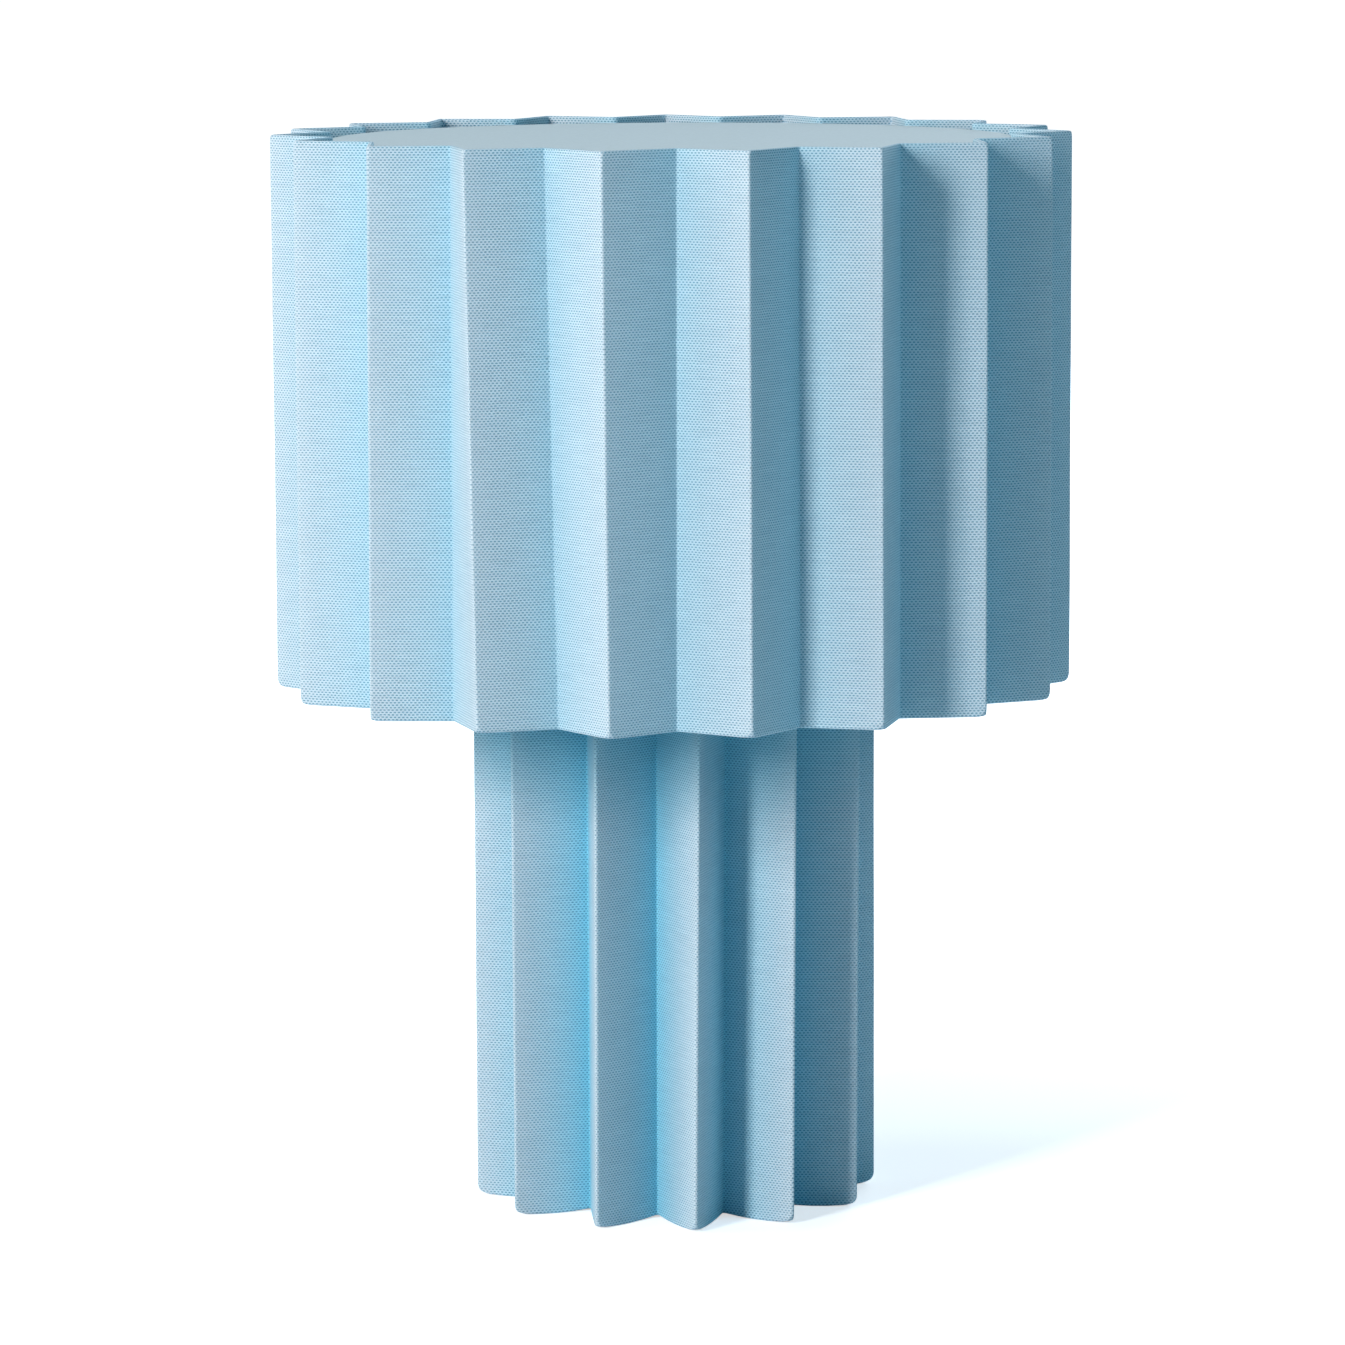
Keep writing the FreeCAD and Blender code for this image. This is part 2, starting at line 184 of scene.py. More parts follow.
def softbox(name, azimuth, elevation, distance, size, level, colour):
    """A rectangular lamp aimed at the object. Level 1 lights a white card that faces it to white."""
    lamp = bpy.data.lights.new(name, "AREA")
    lamp.shape = "RECTANGLE"
    lamp.size, lamp.size_y = size
    lamp.energy = level * (math.pi * distance) ** 2
    lamp.color = paint(colour)[:3]
    made = bpy.data.objects.new(name, lamp)
    scene.collection.objects.link(made)
    turn, rise = math.radians(azimuth), math.radians(elevation)
    way = Vector((-math.sin(turn) * math.cos(rise), -math.cos(turn) * math.cos(rise), math.sin(rise)))
    made.location = lamp_middle + way * distance
    made.rotation_euler = way.to_track_quat("Z", "Y").to_euler()
    made.visible_camera = False
    print(name, "level", level, [round(v, 2) for v in made.location])


# Degrees to the left of the camera, degrees up, and metres away.
softbox("key_strip", 40, 20, 4.0, size=(0.63, 1.67), level=0.965, colour="f9eae5")
softbox("left_fill", 85, 28, 4.0, size=(1.67, 2.33), level=0.27, colour="fff0e4")
softbox("right_fill", -70, 28, 4.0, size=(1.67, 2.33), level=0.15, colour="88e8ff")
softbox("rear_fill", -160, 15, 4.0, size=(2.0, 1.6), level=0.55, colour="eef6ff")
softbox("overhead", 0, 85, 2.0, size=(1.2, 1.2), level=0.2, colour="d8f0ff")

# %% [markdown]
# Both pleated walls are one idea at two sizes: canvas glued to a stiff liner and folded to and
# fro. Hand folding is never quite even, so single folds lean a little. Each wall is a set of
# sizes and habits, and the functions that follow take either set.

# %% The two pleated walls
fabric_t = 0.5 * MM
glue_t = 0.15 * MM
liner_t = 0.8 * MM
inner_fold_r = 0.5 * MM
hem_depth = 10 * MM
wall_t = fabric_t + glue_t + liner_t
hem_t = wall_t + glue_t + fabric_t
fold_r = wall_t + inner_fold_r

# ridge_r: a little under the solids' own, because a tighter crease reaches further out.
# turn: where the first ridge stands, in degrees from the front.
# spread: how far the folds at the sides move on towards the back, in degrees.
# lean: a fold's number, with the degrees that it stands off its even place at top and bottom.
# corners: how far a ridge draws in at the lower and the upper edge.
# lift: how far the lower hem lifts at the folds.
# ridge_highlight: how much paler a painted highlight makes a ridge, and how deep that goes.
# fold_shade: the share of painted shade on a ridge and in a valley.
# dim: the height from which painted shade is added under other cloth.
# seed: moves the swell of the panels.
shade = dict(
    count=19, ridge_r=159.7 * MM, valley_r=139.5 * MM, low=210 * MM, high=432 * MM,
    turn=-8.7, spread=1.3, corners=(2.2 * MM, 0.4 * MM), lift=0,
    ridge_highlight=(0.12, 0.5 * MM), fold_shade=(0.0, 0.33), dim=432 * MM, seed=3,
    lean={-2: (1.1, 0.5), -1.5: (0.7, 0.2), -1: (-1.0, 0.3), -0.5: (-1.5, 0.1), 0: (-0.5, 0.1),
          0.5: (0, -0.3), 1: (0, 0.2), 1.5: (0.1, 0.2), 2: (-0.1, 0.2), 2.5: (-0.6, -0.5)})
column = dict(
    count=12, ridge_r=80.3 * MM, valley_r=55 * MM, low=0, high=246.7 * MM,
    turn=6.4, spread=-2.4, corners=(3 * MM, 0), lift=0.9 * MM,
    ridge_highlight=(0.12, 6 * MM), fold_shade=(0.05, 0.9), dim=160 * MM, seed=8,
    lean={-2: (-0.5, -0.3), -1.5: (-1.9, -1.9), -1: (0.5, -0.1), -0.5: (1.2, 0.5), 0: (1.1, -0.5),
          0.5: (1.7, -0.1), 1: (1.3, -0.1), 2: (1.3, -0.8)})
print("walls", round(wall_t / MM, 2), "mm thick, hems", round(hem_t / MM, 2), "mm")

# %% [markdown]
# Seen from above, each fold is an arc about its own centre and each flat panel runs tangent to
# two of them. Every layer of the wall is the same outline, only deeper in. A drawn curve and a
# modifier could give one layer, but a function that takes the depth gives them all, and they
# nest without touching.

# %% Fold lines
# A creased ridge is tighter than the bend of the liner alone would be.
crease = 0.45
# Two points stand close to the folds, so smooth shading stays in the fold and the panel is flat.
panel_parts = (0.015, 0.25, 0.5, 0.75, 0.985)
ridge_steps = 6
valley_steps = 4


def fold_way(pleat, index, share):
    """Direction of a fold from the axis, a share of the way up. Whole numbers are ridges, halves valleys."""
    count = pleat["count"]
    even = math.radians(pleat["turn"]) + 2 * math.pi * index / count
    nearest = (index + count / 2) % count - count / 2
    top, bottom = pleat["lean"].get(nearest, (0, 0))
    angle = even + math.radians(pleat["spread"] * math.sin(even) + bottom + (top - bottom) * share)
    return Vector((math.sin(angle), -math.cos(angle)))


def between(first, last, steps):
    """Unit vectors that turn evenly from the first to the last."""
    turn = math.atan2(first.x * last.y - first.y * last.x, first.dot(last))
    return [Matrix.Rotation(turn * i / steps, 2) @ first for i in range(steps + 1)]


def panel_normal(ridge, valley, side):
    """Outward direction of the panel that is tangent to a ridge and to a valley."""
    run = valley - ridge
    sine = (fold_r + inner_fold_r) / run.length
    run.normalize()
    return run * sine + Vector((run.y, -run.x)) * side * math.sqrt(1 - sine * sine)


def fold_line(pleat, depth, share, tip_r=inner_fold_r / 2, pull=0):
    """Outline of the wall at a depth in from the canvas, its ridges pulled in, as points round the axis."""
    count = pleat["count"]
    ridges = [fold_way(pleat, k, share) * (pleat["ridge_r"] - fold_r) for k in range(count)]
    valleys = [fold_way(pleat, k + 0.5, share) * (pleat["valley_r"] + inner_fold_r) for k in range(count)]
    falling = [panel_normal(ridges[k], valleys[k], 1) for k in range(count)]
    rising = [panel_normal(ridges[(k + 1) % count], valleys[k], -1) for k in range(count)]
    arcs = []
    for k in range(count):
        middle = (rising[k - 1] + falling[k]).normalized()
        slant = middle.dot(falling[k])
        bend_r = max((fold_r - depth) * crease, tip_r) + pull * slant / (1 - slant)
        centre = ridges[k] + middle * ((fold_r - depth - bend_r) / slant)
        arcs.append([centre + n * bend_r for n in between(rising[k - 1], falling[k], ridge_steps)])
        inward = between(-falling[k], -rising[k], valley_steps)
        arcs.append([valleys[k] + n * (inner_fold_r + depth) for n in inward])
    line = []
    for k, arc in enumerate(arcs):
        after = arcs[(k + 1) % len(arcs)][0]
        line += arc + [arc[-1].lerp(after, part) for part in panel_parts]
    return line


def lengths(line):
    """Distance along a closed line to each of its points, and all the way round."""
    way = [0.0]
    for a, b in zip(line, line[1:] + line[:1]):
        way.append(way[-1] + (b - a).length)
    return way


for name, pleat in (("shade", shade), ("column", column)):
    line = fold_line(pleat, 0, 0.5)
    tips = max(p.length for p in line)
    print(name, len(line), "points round,", round(lengths(line)[-1] / MM), "mm unfolded,",
          "tips at", round(tips / MM, 2), "mm")

# %% [markdown]
# Cut through, the canvas is a long thin loop: up the face, over the edge and back inside as a
# hem, at the bottom and at the top. The liner is a plain strip between the hems. Each section is
# a chain of (depth, height) pairs. Rows lie closer together near the edges, where the doubled
# hem can't be creased as sharply and the ridges round off.

# %% Sections of canvas and liner
edge_r = 0.9 * MM
edge_steps = 4
corner_tall = 4 * MM
corner_parts = (0, 0.2, 0.4, 0.6, 0.8)
canvas_rows = 24
liner_rows = 8


def hem_turn(depth, height, first, last):
    """Quarter turn of a cloth edge, about a centre, from one angle to another in degrees."""
    steps = [math.radians(first + (last - first) * i / edge_steps) for i in range(edge_steps + 1)]
    return [(depth - edge_r * math.cos(a), height + edge_r * math.sin(a)) for a in steps]


def rows_up(low, high, count):
    """Heights from edge to edge: close together where the corners round off, and even between."""
    close = [corner_tall * part for part in corner_parts]
    first, last = low + corner_tall, high - corner_tall
    even = [first + (last - first) * i / count for i in range(count + 1)]
    return [low + c for c in close] + even + [high - c for c in reversed(close)]


def canvas_chain(low, high):
    """Section of the canvas from inside the lower hem, up the face, to inside the upper hem."""
    inside = hem_t - fabric_t
    face = rows_up(low + edge_r, high - edge_r, canvas_rows)
    chain = [(fabric_t, low + fabric_t), (inside, low + fabric_t), (inside, low + hem_depth)]
    chain += [(hem_t, low + hem_depth)] + hem_turn(hem_t - edge_r, low + edge_r, 180, 270)
    chain += hem_turn(edge_r, low + edge_r, -90, 0) + [(0, z) for z in face[1:-1]]
    chain += hem_turn(edge_r, high - edge_r, 0, 90) + hem_turn(hem_t - edge_r, high - edge_r, 90, 180)
    chain += [(hem_t, high - hem_depth), (inside, high - hem_depth)]
    return chain + [(inside, high - fabric_t), (fabric_t, high - fabric_t)]


def liner_chain(low, high):
    """Section of the liner, between the hems."""
    gap = fabric_t + glue_t
    face = rows_up(low + gap, high - gap, liner_rows)
    return [(gap, z) for z in face] + [(wall_t, z) for z in reversed(face)]


print("canvas section", len(canvas_chain(0, 1)), "points, liner section", len(liner_chain(0, 1)))

# %% [markdown]
# A wall is built like knitting in the round: the fold line carries the section round the axis,
# row by row. Sculpting or a cloth simulation could do it, but this cloth is glued to its liner
# and holds its folds. What hands leave is added: ridges that round off at the hems, a lower hem
# that hangs lowest in the middle of each panel, and a faint swell, so the panels don't look like
# sheet steel. Each point also notes its painted highlight near a ridge, and its painted shade.

# %% Points of a layer
# The lift of the lower hem dies out over this height.
lift_tall = 20 * MM
swells_per_m = 18
# Painted shade in a fold stays weak for most of the way in, and is strongest near the valley.
shade_bend = 1.6
# Under other cloth painted shade grows over this height, up to this share of what is left.
dim_rise = 40 * MM
dim_share = 0.75


def corner_pull(pleat, z):
    """How far the ridges are pulled in at a height."""
    pull = 0
    for draw_in, height in zip(pleat["corners"], (z - pleat["low"], pleat["high"] - z)):
        near = max(0, 1 - height / corner_tall)
        pull += draw_in * (1 - math.sqrt(1 - near * near))
    return pull


def painted_shade_at(pleat, sunk, z):
    """Share of painted shade at a depth in a fold, from 0 on the ridge to 1, and at a height."""
    ridge_shade, valley_shade = pleat["fold_shade"]
    fold_shade = ridge_shade + (valley_shade - ridge_shade) * sunk ** shade_bend
    return fold_shade + (1 - fold_shade) * dim_share * min(1, max(0, z - pleat["dim"]) / dim_rise)


def layer_row(mesh, pleat, line, z, swell):
    """One row of points, and how far each is lifted by the hem."""
    ridge_highlight, deep = [mesh.verts.layers.float[name] for name in ("ridge_highlight", "deep")]
    paler, highlight_depth = pleat["ridge_highlight"]
    row, lifted = [], []
    for p in line:
        soft = 1 + noise.noise(Vector((p.x, p.y, z + pleat["seed"])) * swells_per_m) * swell
        drop = max(0, pleat["ridge_r"] - p.length)
        sunk = min(1, drop / (pleat["ridge_r"] - pleat["valley_r"]))
        lifted.append(pleat["lift"] * (2 * sunk - 1) ** 2 * max(0, 1 - (z - pleat["low"]) / lift_tall))
        point = mesh.verts.new((p.x * soft, p.y * soft, z + lifted[-1]))
        # Each point's share of painted highlight near a ridge, and of painted shade in a fold and under other
        # cloth.
        point[ridge_highlight] = paler * max(0, 1 - drop / highlight_depth)
        point[deep] = painted_shade_at(pleat, sunk, z)
        row.append(point)
    return row, lifted


# The share of painted shade in the column's valleys.
print("fresh dye in the column's valleys:", round(painted_shade_at(column, 1, 0), 2))

# %% [markdown]
# The faces between the rows take UVs from the cloth as it would lie unrolled, in metres, so that
# a weave drawn on them keeps its real size and follows every fold. Threads run true from the
# valleys, where nothing is taken up, and what a rounded corner takes up is lost at the ridge.

# %% Folding a layer
def along(way, i):
    """Distance to a point, also for one before the first or after the last."""
    turns, spot = divmod(i, len(way) - 1)
    return turns * way[-1] + way[spot]


def valley_of(i, per_fold):
    """Index of the valley point that the threads at a point are counted from."""
    valley = ridge_steps + 1 + len(panel_parts)
    if i % per_fold < ridge_steps // 2:
        valley += valley_steps - per_fold
    return i - i % per_fold + valley


def into_piece(name, mesh):
    """The mesh as an object in the scene, its faces turned outwards."""
    bmesh.ops.recalc_face_normals(mesh, faces=mesh.faces)
    made = bpy.data.objects.new(name, bpy.data.meshes.new(name))
    mesh.to_mesh(made.data)
    mesh.free()
    scene.collection.objects.link(made)
    return made


def fold_up(name, pleat, chain, swell):
    """One closed layer of a pleated wall, with the unrolled cloth as its UVs."""
    mesh = bmesh.new()
    for note in ("ridge_highlight", "deep"):
        mesh.verts.layers.float.new(note)
    rows, ways, lifts = [], [], []
    for depth, z in chain:
        share = (z - pleat["low"]) / (pleat["high"] - pleat["low"])
        line = fold_line(pleat, depth, share, pull=corner_pull(pleat, z))
        row, lifted = layer_row(mesh, pleat, line, z, swell)
        rows.append(row)
        lifts.append(lifted)
        ways.append(lengths(line))
    run = lengths(fold_line(pleat, 0, 0.5))
    rise = [0.0]
    for a, b in zip(chain, chain[1:]):
        rise.append(rise[-1] + math.dist(a, b))
    rise.append(rise[-1])
    uv = mesh.loops.layers.uv.new("unrolled")
    across = len(rows[0])
    for j in range(len(rows)):
        upper = (j + 1) % len(rows)
        for i in range(across):
            right = (i + 1) % across
            quad = mesh.faces.new((rows[j][i], rows[j][right], rows[upper][right], rows[upper][i]))
            quad.smooth = True
            start = valley_of(i, across // pleat["count"])
            ends = ((i, j, j), (i + 1, j, j), (i + 1, upper, j + 1), (i, upper, j + 1))
            for loop, (spot, k, v) in zip(quad.loops, ends):
                u = along(run, start) + along(ways[k], spot) - along(ways[k], start)
                loop[uv].uv = (u, rise[v] + lifts[k][spot % across])
    made = into_piece(name, mesh)
    print(name, len(made.data.polygons), "faces", [round(v / MM, 1) for v in made.dimensions], "mm")
    return made


canvas_swell = 0.0012
shade_canvas = fold_up("shade_canvas", shade, canvas_chain(shade["low"], shade["high"]), canvas_swell)
column_canvas = fold_up("column_canvas", column, canvas_chain(column["low"], column["high"]), canvas_swell)
shade_card = fold_up("shade_card", shade, liner_chain(shade["low"], shade["high"]), 0)
column_card = fold_up("column_card", column, liner_chain(column["low"], column["high"]), 0)

# %% [markdown]
# At the back, close to the table, the column has a small arch through canvas and liner for the
# bush that guides a cord. A Boolean cuts it, as a punch would: it is quicker than weaving an
# arch into the rows of the mesh, and the UVs on either side stay as they were.

# %% Arch for the bush
rear_valley = 5.5
arch_gap = 0.3 * MM
arch_steps = 16
punch_from, punch_to = 44 * MM, 90 * MM
punch_low = -5 * MM

bush_low, bush_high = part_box("cord_bush")
arch_r = (bush_high.z - bush_low.z) / 2 + arch_gap
arch_z = (bush_high.z + bush_low.z) / 2
rear = fold_way(column, rear_valley, 0).to_3d()
side = Vector((-rear.y, rear.x, 0))
profile = [(-arch_r, punch_low)]
for i in range(arch_steps + 1):
    angle = math.pi * i / arch_steps
    profile.append((-arch_r * math.cos(angle), arch_z + arch_r * math.sin(angle)))
profile.append((arch_r, punch_low))

mesh = bmesh.new()
near, far = [[mesh.verts.new(rear * reach + side * x + Vector((0, 0, z))) for x, z in profile]
             for reach in (punch_from, punch_to)]
mesh.faces.new(near)
mesh.faces.new(reversed(far))
for i in range(len(profile)):
    mesh.faces.new((near[i - 1], near[i], far[i], far[i - 1]))
punch = into_piece("punch", mesh)
for piece in (column_canvas, column_card):
    cut = piece.modifiers.new("arch", "BOOLEAN")
    cut.object, cut.operation, cut.solver = punch, "DIFFERENCE", "EXACT"
    bpy.context.view_layer.update()
    cut_piece = piece.evaluated_get(bpy.context.evaluated_depsgraph_get())
    punched = bpy.data.meshes.new_from_object(cut_piece)
    piece.modifiers.clear()
    piece.data = punched
    print(piece.name, len(punched.polygons), "faces after the arch")
bpy.data.objects.remove(punch)

# %% [markdown]
# Under the foot lies a pad of wool felt, cut with shears to the star of the column. Felt has no
# crisp corner, so the edge is a soft bead, drawn from the same fold line a little further in.

# %% Felt pad
# How far the edge lies back, and how high, in millimetres, from the table up.
felt_bead = [(1.2, 0), (0.5, 0.15), (0.1, 0.6), (0, 1.1), (0.2, 1.6), (0.8, 2)]
felt_depth = hem_t + 2.3 * MM
felt_tip_r = 4 * MM


def skin(mesh, rows):
    """Smooth faces from each ring of points to the next."""
    for lower, upper in zip(rows, rows[1:]):
        for i in range(len(lower)):
            mesh.faces.new((lower[i - 1], lower[i], upper[i], upper[i - 1])).smooth = True


mesh = bmesh.new()
rows = []
for back, z in felt_bead:
    star = fold_line(column, felt_depth + back * MM, 0, tip_r=felt_tip_r)
    rows.append([mesh.verts.new((p.x, p.y, z * MM)) for p in star])
skin(mesh, rows)
caps = [mesh.faces.new(rows[-1]), mesh.faces.new(reversed(rows[0]))]
bmesh.ops.triangulate(mesh, faces=caps)
felt_pad = into_piece("felt_star", mesh)

# %% [markdown]
# Lamp caps and holders carry threads: rolled in thin brass on the cap and its shell, moulded on
# the outside of the holder. A thread is a turned shape whose radius rises and falls with height,
# and the rise moves on a full turn for each pitch. Real depth shows at the outline, where a
# painted thread would stay flat.

# %% Turning a thread
turned_steps = 96
sharp_deg = 40


def turned(name, section, pitch):
    """A closed turned piece from (radius, height, thread depth) points, in millimetres."""
    mesh = bmesh.new()
    rows = []
    for radius, z, depth in section:
        row = []
        for i in range(turned_steps):
            angle = 2 * math.pi * i / turned_steps
            wave = 0.5 - 0.5 * math.cos(2 * math.pi * z / pitch - angle)
            reach = (radius - depth * wave) * MM
            row.append(mesh.verts.new((reach * math.cos(angle), reach * math.sin(angle), z * MM)))
        rows.append(row)
    skin(mesh, rows + rows[:1])
    made = into_piece(name, mesh)
    made.data.set_sharp_from_angle(angle=math.radians(sharp_deg))
    print(name, len(made.data.polygons), "faces")
    return made


def levels(low, high, step):
    """Heights from low to high, about a step apart."""
    count = max(1, round((high - low) / step))
    return [low + (high - low) * i / count for i in range(count + 1)]


def ends_mm(name):
    """Lowest and highest level of a node, in millimetres."""
    return [end.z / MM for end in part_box(name)]


cap_pitch = 3.629
holder_pitch = 2.5
print("threads of", cap_pitch, "and", holder_pitch, "mm pitch")

# %% [markdown]
# Cap and shell are drawn from thin sheet, so their inside repeats the outside a sheet's thickness
# further in. The cap's thread ends below a plain collar that holds the glass, and the shell's
# starts above a plain foot. Sizes here are millimetres, the unit of the function above.

# %% Rolled cap and shell
sheet_t = 0.4


def inner_side(side):
    """The inside of a drawn sheet, from the top down."""
    return [(r - sheet_t, z, groove) for r, z, groove in reversed(side)]


cap_low, cap_high = ends_mm("bulb_cap")
cap_r, cap_hole_r, cap_lip_r = 13.05, 9.6, 12.9
cap_foot_r, cap_foot_tall = 12.2, 0.8
cap_groove, cap_step = 0.9, 0.4
cap_thread_low, cap_thread_high = cap_low + 1, cap_high - 8.6
cap_side = []
for z in levels(cap_low + cap_foot_tall, cap_high - sheet_t, cap_step):
    threaded = cap_thread_low < z < cap_thread_high
    cap_side.append((cap_r, z, cap_groove if threaded else 0))
cap_section = [(cap_hole_r, cap_low, 0), (cap_foot_r, cap_low, 0)] + cap_side
cap_section += [(cap_lip_r, cap_high, 0), (cap_r - sheet_t, cap_high, 0)]
cap_section += inner_side(cap_side[1:]) + [(cap_hole_r, cap_low + sheet_t, 0)]
bulb_cap = turned("bulb_cap_rolled", cap_section, cap_pitch)

shell_low, shell_high = ends_mm("holder_screw_shell")
shell_r, shell_hole_r, shell_floor_t = 14.05, 10, 0.5
shell_foot_r, shell_foot_tall = 13.8, 0.6
shell_groove, shell_step = 0.7, 0.45
shell_thread_low = shell_low + 3
shell_side = []
for z in levels(shell_low + shell_foot_tall, shell_high, shell_step):
    shell_side.append((shell_r, z, shell_groove if z > shell_thread_low else 0))
shell_section = [(shell_hole_r, shell_low, 0), (shell_foot_r, shell_low, 0)] + shell_side
shell_section += inner_side(shell_side) + [(shell_hole_r, shell_low + shell_floor_t, 0)]
screw_shell = turned("screw_shell_rolled", shell_section, cap_pitch)

# %% [markdown]
# The upper half of the holder is moulded in one with its outer thread, on which the shade's rings
# screw. Below the thread is a flange for the fingers, with softened edges, and inside a wide
# bore goes down to a thin floor.

# %% Threaded skirt of the holder
skirt_low, skirt_high = ends_mm("holder_skirt")
skirt_r, skirt_bore_r, skirt_hole_r = 18.3, 15.5, 12
skirt_floor = skirt_low + 2
flange_r, flange_edge = 20.5, 0.3
flange_high = skirt_high - 30
flange_low = flange_high - 4
crest_r, root_r, thread_groove, thread_step = 19.65, 18.9, 0.8, 0.3
thread_low, thread_high = flange_high + 0.4, skirt_high - 0.8
lead_r, lead_tall = 18.7, 0.3
mouth_edge = 0.5

thread_side = [(crest_r, z, thread_groove) for z in levels(thread_low, thread_high, thread_step)]
skirt_section = [
    (skirt_hole_r, skirt_low, 0), (skirt_r, skirt_low, 0), (skirt_r, flange_low, 0),
    (flange_r - flange_edge, flange_low, 0), (flange_r, flange_low + flange_edge, 0),
    (flange_r, flange_high - flange_edge, 0), (flange_r - flange_edge, flange_high, 0),
    (root_r, flange_high, 0), *thread_side, (lead_r, skirt_high - lead_tall, 0), (skirt_r, skirt_high, 0),
    (skirt_bore_r + mouth_edge, skirt_high, 0), (skirt_bore_r, skirt_high - mouth_edge, 0),
    (skirt_bore_r, skirt_floor, 0), (skirt_hole_r, skirt_floor, 0)]
holder_skirt = turned("holder_skirt_threaded", skirt_section, holder_pitch)

# %% [markdown]
# The cloth is a heavy cotton canvas in plain weave, dyed in the yarn: thick pale weft lies in
# rows, and thin blue warp dips over it in short dashes that are staggered from row to row. An
# image of cloth could be tiled here, but a formula has no tile to repeat. A product of two sine
# waves changes sign from one crossing to the next, which places the dashes. A high power of the
# wave up the cloth slims them, and a share of the row's middle lengthens them.

# %% Weave
warp_pitch = 0.79 * MM
weft_pitch = 0.955 * MM
# No yarn lies quite straight: it wanders by this much, over this length.
yarn_wander = (0.5 * MM, 0.4 * MM, 0)
wander_length = 4 * MM
dash_power = 5.0
dash_stretch = -0.6
dash_low = -0.6

canvas, tree, shader = surface("cotton_canvas_yarn_dyed_plain_weave")
unrolled = put(tree, "ShaderNodeUVMap", uv_map="unrolled").outputs["UV"]
drift = put(tree, "ShaderNodeTexNoise", {"Vector": unrolled, "Scale": 1 / wander_length, "Detail": 2.0})
woven = put(tree, "ShaderNodeVectorMath", {0: drift.outputs["Color"], 1: yarn_wander, 2: unrolled},
            operation="MULTIPLY_ADD")
axes = put(tree, "ShaderNodeSeparateXYZ", {0: woven.outputs[0]}).outputs
waves = []
for axis, step in (("X", warp_pitch), ("Y", weft_pitch)):
    angle = put(tree, "ShaderNodeMath", {0: axes[axis], 1: math.pi / step}, operation="MULTIPLY")
    waves.append(put(tree, "ShaderNodeMath", {0: angle.outputs[0]}, operation="SINE").outputs[0])
slim = put(tree, "ShaderNodeMath", {0: waves[1], 1: dash_power}, operation="POWER").outputs[0]
check = put(tree, "ShaderNodeMath", {0: waves[0], 1: slim}, operation="MULTIPLY").outputs[0]
middle = put(tree, "ShaderNodeMath", {0: slim}, operation="ABSOLUTE").outputs[0]
dashes = put(tree, "ShaderNodeMath", {0: middle, 1: dash_stretch, 2: check}, operation="MULTIPLY_ADD")
weft_over = put(tree, "ShaderNodeMapRange", {0: dashes.outputs[0], 1: dash_low, 2: 0.0},
                interpolation_type="SMOOTHSTEP").outputs[0]
print("canvas:", round(MM * 10 / warp_pitch, 1), "x", round(MM * 10 / weft_pitch, 1), "threads per cm")

# %% [markdown]
# Each yarn varies along its own length, where the spinner joined fibres, so the noise that tints
# it is stretched one way for weft and the other for warp. The ridges carry a painted highlight that
# makes them a touch paler. In a fold and under the shade a painted shade makes the blue deeper and
# stronger. Fibre ends stand up from the yarn, which gives a matt face with a faint sheen.

# %% Canvas
slub_length = 14 * MM
thread_relief = 0.2 * MM
# In a Mix node for colours, input 0 is the share, 6 and 7 are the colours, and output 2 the result.
yarns = []
for lengthwise, crosswise, dark, light in (
    (1 / slub_length, 1 / weft_pitch, "bbd7e7", "c7e1ef"),
    (1 / warp_pitch, 1 / slub_length, "649ab6", "76acc6"),
):
    laid = put(tree, "ShaderNodeMapping", {"Vector": unrolled, "Scale": (lengthwise, crosswise, 1)})
    slub = put(tree, "ShaderNodeTexNoise", {"Vector": laid.outputs[0], "Scale": 1.0, "Detail": 2.0})
    tone = put(tree, "ShaderNodeValToRGB", {0: slub.outputs[0]})
    for stop, position, colour in zip(tone.color_ramp.elements, (0.3, 0.7), (dark, light)):
        stop.position, stop.color = position, paint(colour)
    yarns.append(tone.outputs[0])
weft, warp = yarns
cloth = put(tree, "ShaderNodeMix", {0: weft_over, 6: warp, 7: weft}, data_type="RGBA").outputs[2]
# Painted shade: the folds and the cloth under the shade are multiplied by a deeper blue.
painted_shade_share = put(tree, "ShaderNodeAttribute", attribute_name="deep").outputs["Fac"]
shaded_cloth = put(tree, "ShaderNodeMix", {0: painted_shade_share, 6: cloth, 7: paint("a0f2ff")},
           data_type="RGBA", blend_type="MULTIPLY").outputs[2]
# Painted highlight: the ridges are mixed towards a paler blue.
highlight_share = put(tree, "ShaderNodeAttribute", attribute_name="ridge_highlight").outputs["Fac"]
highlighted = put(tree, "ShaderNodeMix", {0: highlight_share, 6: shaded_cloth, 7: paint("e6f2f8")}, data_type="RGBA").outputs[2]
thread = put(tree, "ShaderNodeBump", {"Strength": 1.0, "Distance": thread_relief, "Height": weft_over})
tree.links.new(highlighted, shader.inputs["Base Color"])
tree.links.new(thread.outputs[0], shader.inputs["Normal"])
for socket, value in (("Roughness", 0.85), ("Specular IOR Level", 0.25),
                      ("Sheen Weight", 0.15), ("Sheen Roughness", 0.5)):
    shader.inputs[socket].default_value = value
for piece in (shade_canvas, column_canvas):
    piece.data.materials.append(canvas)
print(canvas.name, len(tree.nodes), "nodes")

# %% [markdown]
# The other surfaces are plain materials with a fine grain: what differs is how each was made.
# One function mixes two tones, a range of gloss and a relief from noise of a real grain size.
# The noise sits in the piece's own space, so it stays put when the piece moves. Where the real
# grain is too fine to show, as on moulded, frosted or plated surfaces, it is drawn half a
# millimetre wide or more.

# %% Grained surfaces
# Most of a noise lies between these values, so they take the two tones and the two roughnesses.
grain_low, grain_high = 0.3, 0.7
relief_strength = 0.7


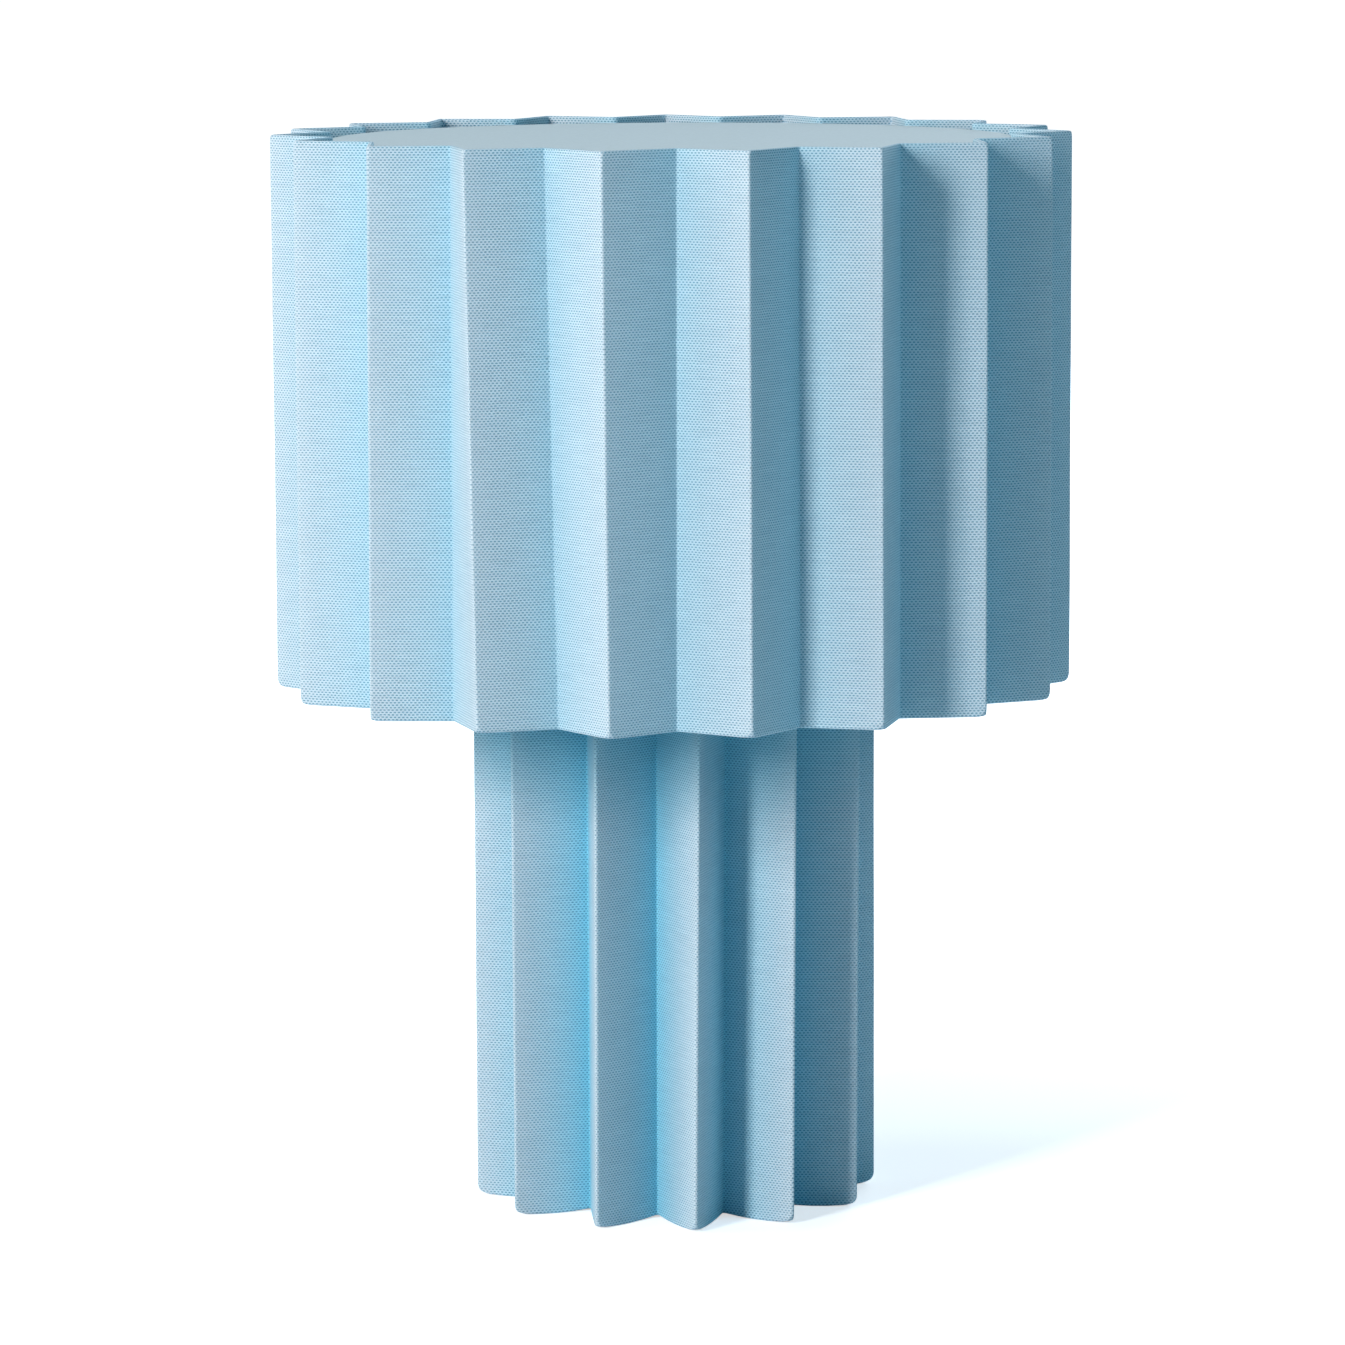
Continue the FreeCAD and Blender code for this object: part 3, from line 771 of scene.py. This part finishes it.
def grained(name, size, tones, gloss, relief, **sockets):
    """A material with a grain of a size in metres, two tones, two roughnesses and a relief in metres."""
    made, tree, shader = surface(name)
    place = put(tree, "ShaderNodeTexCoord").outputs["Object"]
    grain = put(tree, "ShaderNodeTexNoise", {"Vector": place, "Scale": 1 / size, "Detail": 4.0}).outputs[0]
    tone = put(tree, "ShaderNodeValToRGB", {0: grain})
    for stop, position, colour in zip(tone.color_ramp.elements, (grain_low, grain_high), tones):
        stop.position, stop.color = position, paint(colour)
    rough = put(tree, "ShaderNodeMapRange", {0: grain, 1: grain_low, 2: grain_high, 3: gloss[0], 4: gloss[1]})
    bump = put(tree, "ShaderNodeBump", {"Strength": relief_strength, "Distance": relief, "Height": grain})
    tree.links.new(tone.outputs[0], shader.inputs["Base Color"])
    tree.links.new(rough.outputs[0], shader.inputs["Roughness"])
    tree.links.new(bump.outputs[0], shader.inputs["Normal"])
    for socket, value in sockets.items():
        shader.inputs[socket.replace("_", " ")].default_value = value
    print(name, round(size / MM, 2), "mm grain")
    return made


# Calendered polystyrene sheet: smooth and milky, with a faint roller mark.
liner_sheet = grained("polystyrene_sheet_calendered", 6 * MM, ("e2e5e5", "eceeed"), (0.42, 0.52), 0.03 * MM)
# Opal acrylic, sanded by a blasted mould: an even haze with no clear highlight.
opal_acrylic = grained("acrylic_opal_frosted", 1.5 * MM, ("bcd0d8", "c4d8e0"), (0.75, 0.85), 0.02 * MM,
                       Specular_IOR_Level=0.1)
# Powder coat melts into a skin with a shallow orange peel about a millimetre across.
powder_coat = grained("steel_wire_powder_coated", 1.2 * MM, ("e9e9e5", "f0f0ec"), (0.3, 0.42), 0.06 * MM)
# Thermoset moulding: a fine spark-eroded texture, duller than glass.
moulding = grained("polyester_moulded_fine_texture", 0.5 * MM, ("e4e3dd", "ecebe6"), (0.36, 0.5), 0.03 * MM)
# Moulded rubber: matt, with the bloom of a blasted mould.
rubber = grained("rubber_moulded", 0.6 * MM, ("cfd2d2", "dadddd"), (0.6, 0.75), 0.03 * MM)

# %% [markdown]
# Inside the holder and on the bulb are ceramic, glass and metals. A metal's colour is the colour
# of its reflections, so it is set a little paler than it looks, and its grain shows mostly as
# changes in gloss.

# %% Ceramic, glass and metal
# Steatite is pressed and fired, cream and slightly speckled.
steatite = grained("steatite_pressed_and_fired", 0.9 * MM, ("d9d1c0", "e6dfd0"), (0.35, 0.55), 0.05 * MM)
# Black glass pressed hot into the cap: deep and shiny, with small ripples.
black_glass = grained("black_glass_pressed", 2.5 * MM, ("0d0e11", "191b20"), (0.08, 0.2), 0.05 * MM)
# Opal glass, blown then etched: white through its depth, with light that spreads inside.
opal_glass = grained("opal_glass_etched", 3 * MM, ("efece6", "f6f4ef"), (0.32, 0.42), 0.015 * MM,
                     Subsurface_Weight=0.4, Subsurface_Radius=(0.004, 0.004, 0.003))
# Stamped brass keeps soft rolling marks and a warm, blurred shine.
brass = grained("brass_sheet_stamped", 1.6 * MM, ("c9a35a", "dab873"), (0.22, 0.38), 0.02 * MM,
                Metallic=1.0)
# Nickel plating on a rolled cap: pale, a little uneven where the die dragged.
nickel = grained("nickel_plated_cap_rolled", 1.2 * MM, ("bdbbb5", "cfcdc8"), (0.18, 0.34), 0.02 * MM,
                 Metallic=1.0)
# Zinc plating shows a fine cool crystal on turned steel.
zinc = grained("steel_zinc_plated", 0.8 * MM, ("a9aeb2", "c4c8cb"), (0.28, 0.46), 0.02 * MM,
               Metallic=1.0)
# Hot-rolled plate keeps a dark, patchy scale.
rolled_plate = grained("steel_plate_hot_rolled", 5 * MM, ("3b3e42", "5a5d60"), (0.45, 0.65), 0.06 * MM,
                       Metallic=1.0)

# %% [markdown]
# The foot is board and felt, both pressed from fibre: dry, matt and flecked. Felt also has a
# halo of loose hairs, which a sheen gives without modelling a single one.

# %% Board and felt
# Fibreboard is pressed fibre: brown, flecked and dry.
fibreboard = grained("fibreboard_pressed", 1.1 * MM, ("8e6c49", "b28e64"), (0.75, 0.9), 0.12 * MM)
# Wool felt is matted fibre in mixed greys, soft enough to hide every edge.
felt = grained("wool_felt_pressed", 0.7 * MM, ("6f7376", "9da1a3"), (0.9, 1.0), 0.3 * MM,
               Sheen_Weight=0.4, Sheen_Roughness=0.6)

# %% [markdown]
# Now each surface goes onto its pieces. The CAD solids that are right as they are only change
# what is in their material slots. The pieces made above get theirs in the same way.

# %% Finishes on the pieces
finishes = {
    opal_acrylic: ["top_diffuser"],
    powder_coat: ["shade_top_ring", "shade_bottom_ring", "shade_arms", "shade_fitter"],
    moulding: ["shade_seat_ring", "shade_clamp_ring", "holder_cap"],
    steatite: ["holder_core"],
    brass: ["holder_contact", "terminal_screws"],
    nickel: ["bulb_contact"],
    black_glass: ["bulb_insulator"],
    opal_glass: ["bulb_glass"],
    zinc: ["stem_tube", "stem_nuts", "stem_washers"],
    rolled_plate: ["weight_disc"],
    fibreboard: ["bottom_board", "column_top_plate"],
    rubber: ["cord_bush"],
}
for finish, names in finishes.items():
    for name in names:
        for place in nodes[name].material_slots:
            place.material = finish
for piece, finish in ((shade_card, liner_sheet), (column_card, liner_sheet), (felt_pad, felt),
                      (bulb_cap, nickel), (screw_shell, brass), (holder_skirt, moulding)):
    piece.data.materials.clear()
    piece.data.materials.append(finish)
print("finished", sum(len(names) for names in finishes.values()), "nodes of the frame")

# %% [markdown]
# Each made piece now takes the place of its CAD node, which is hidden, and rides on that
# node's body.

# %% Places of the pieces
for piece, node, slot, body in (
    (shade_canvas, "shade_fabric", "light_blue_cloth", "lamp"),
    (column_canvas, "column_fabric", "light_blue_cloth", "lamp"),
    (shade_card, "shade_liner", "pale_liner", "lamp"),
    (column_card, "column_liner", "pale_liner", "lamp"),
    (felt_pad, "felt_pad", "grey_felt", "lamp"),
    (holder_skirt, "holder_skirt", "white_moulding", "lamp"),
    (screw_shell, "holder_screw_shell", "brass", "lamp"),
    (bulb_cap, "bulb_cap", "bulb_metal", "bulb"),
):
    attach(piece, body)
    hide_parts(node)
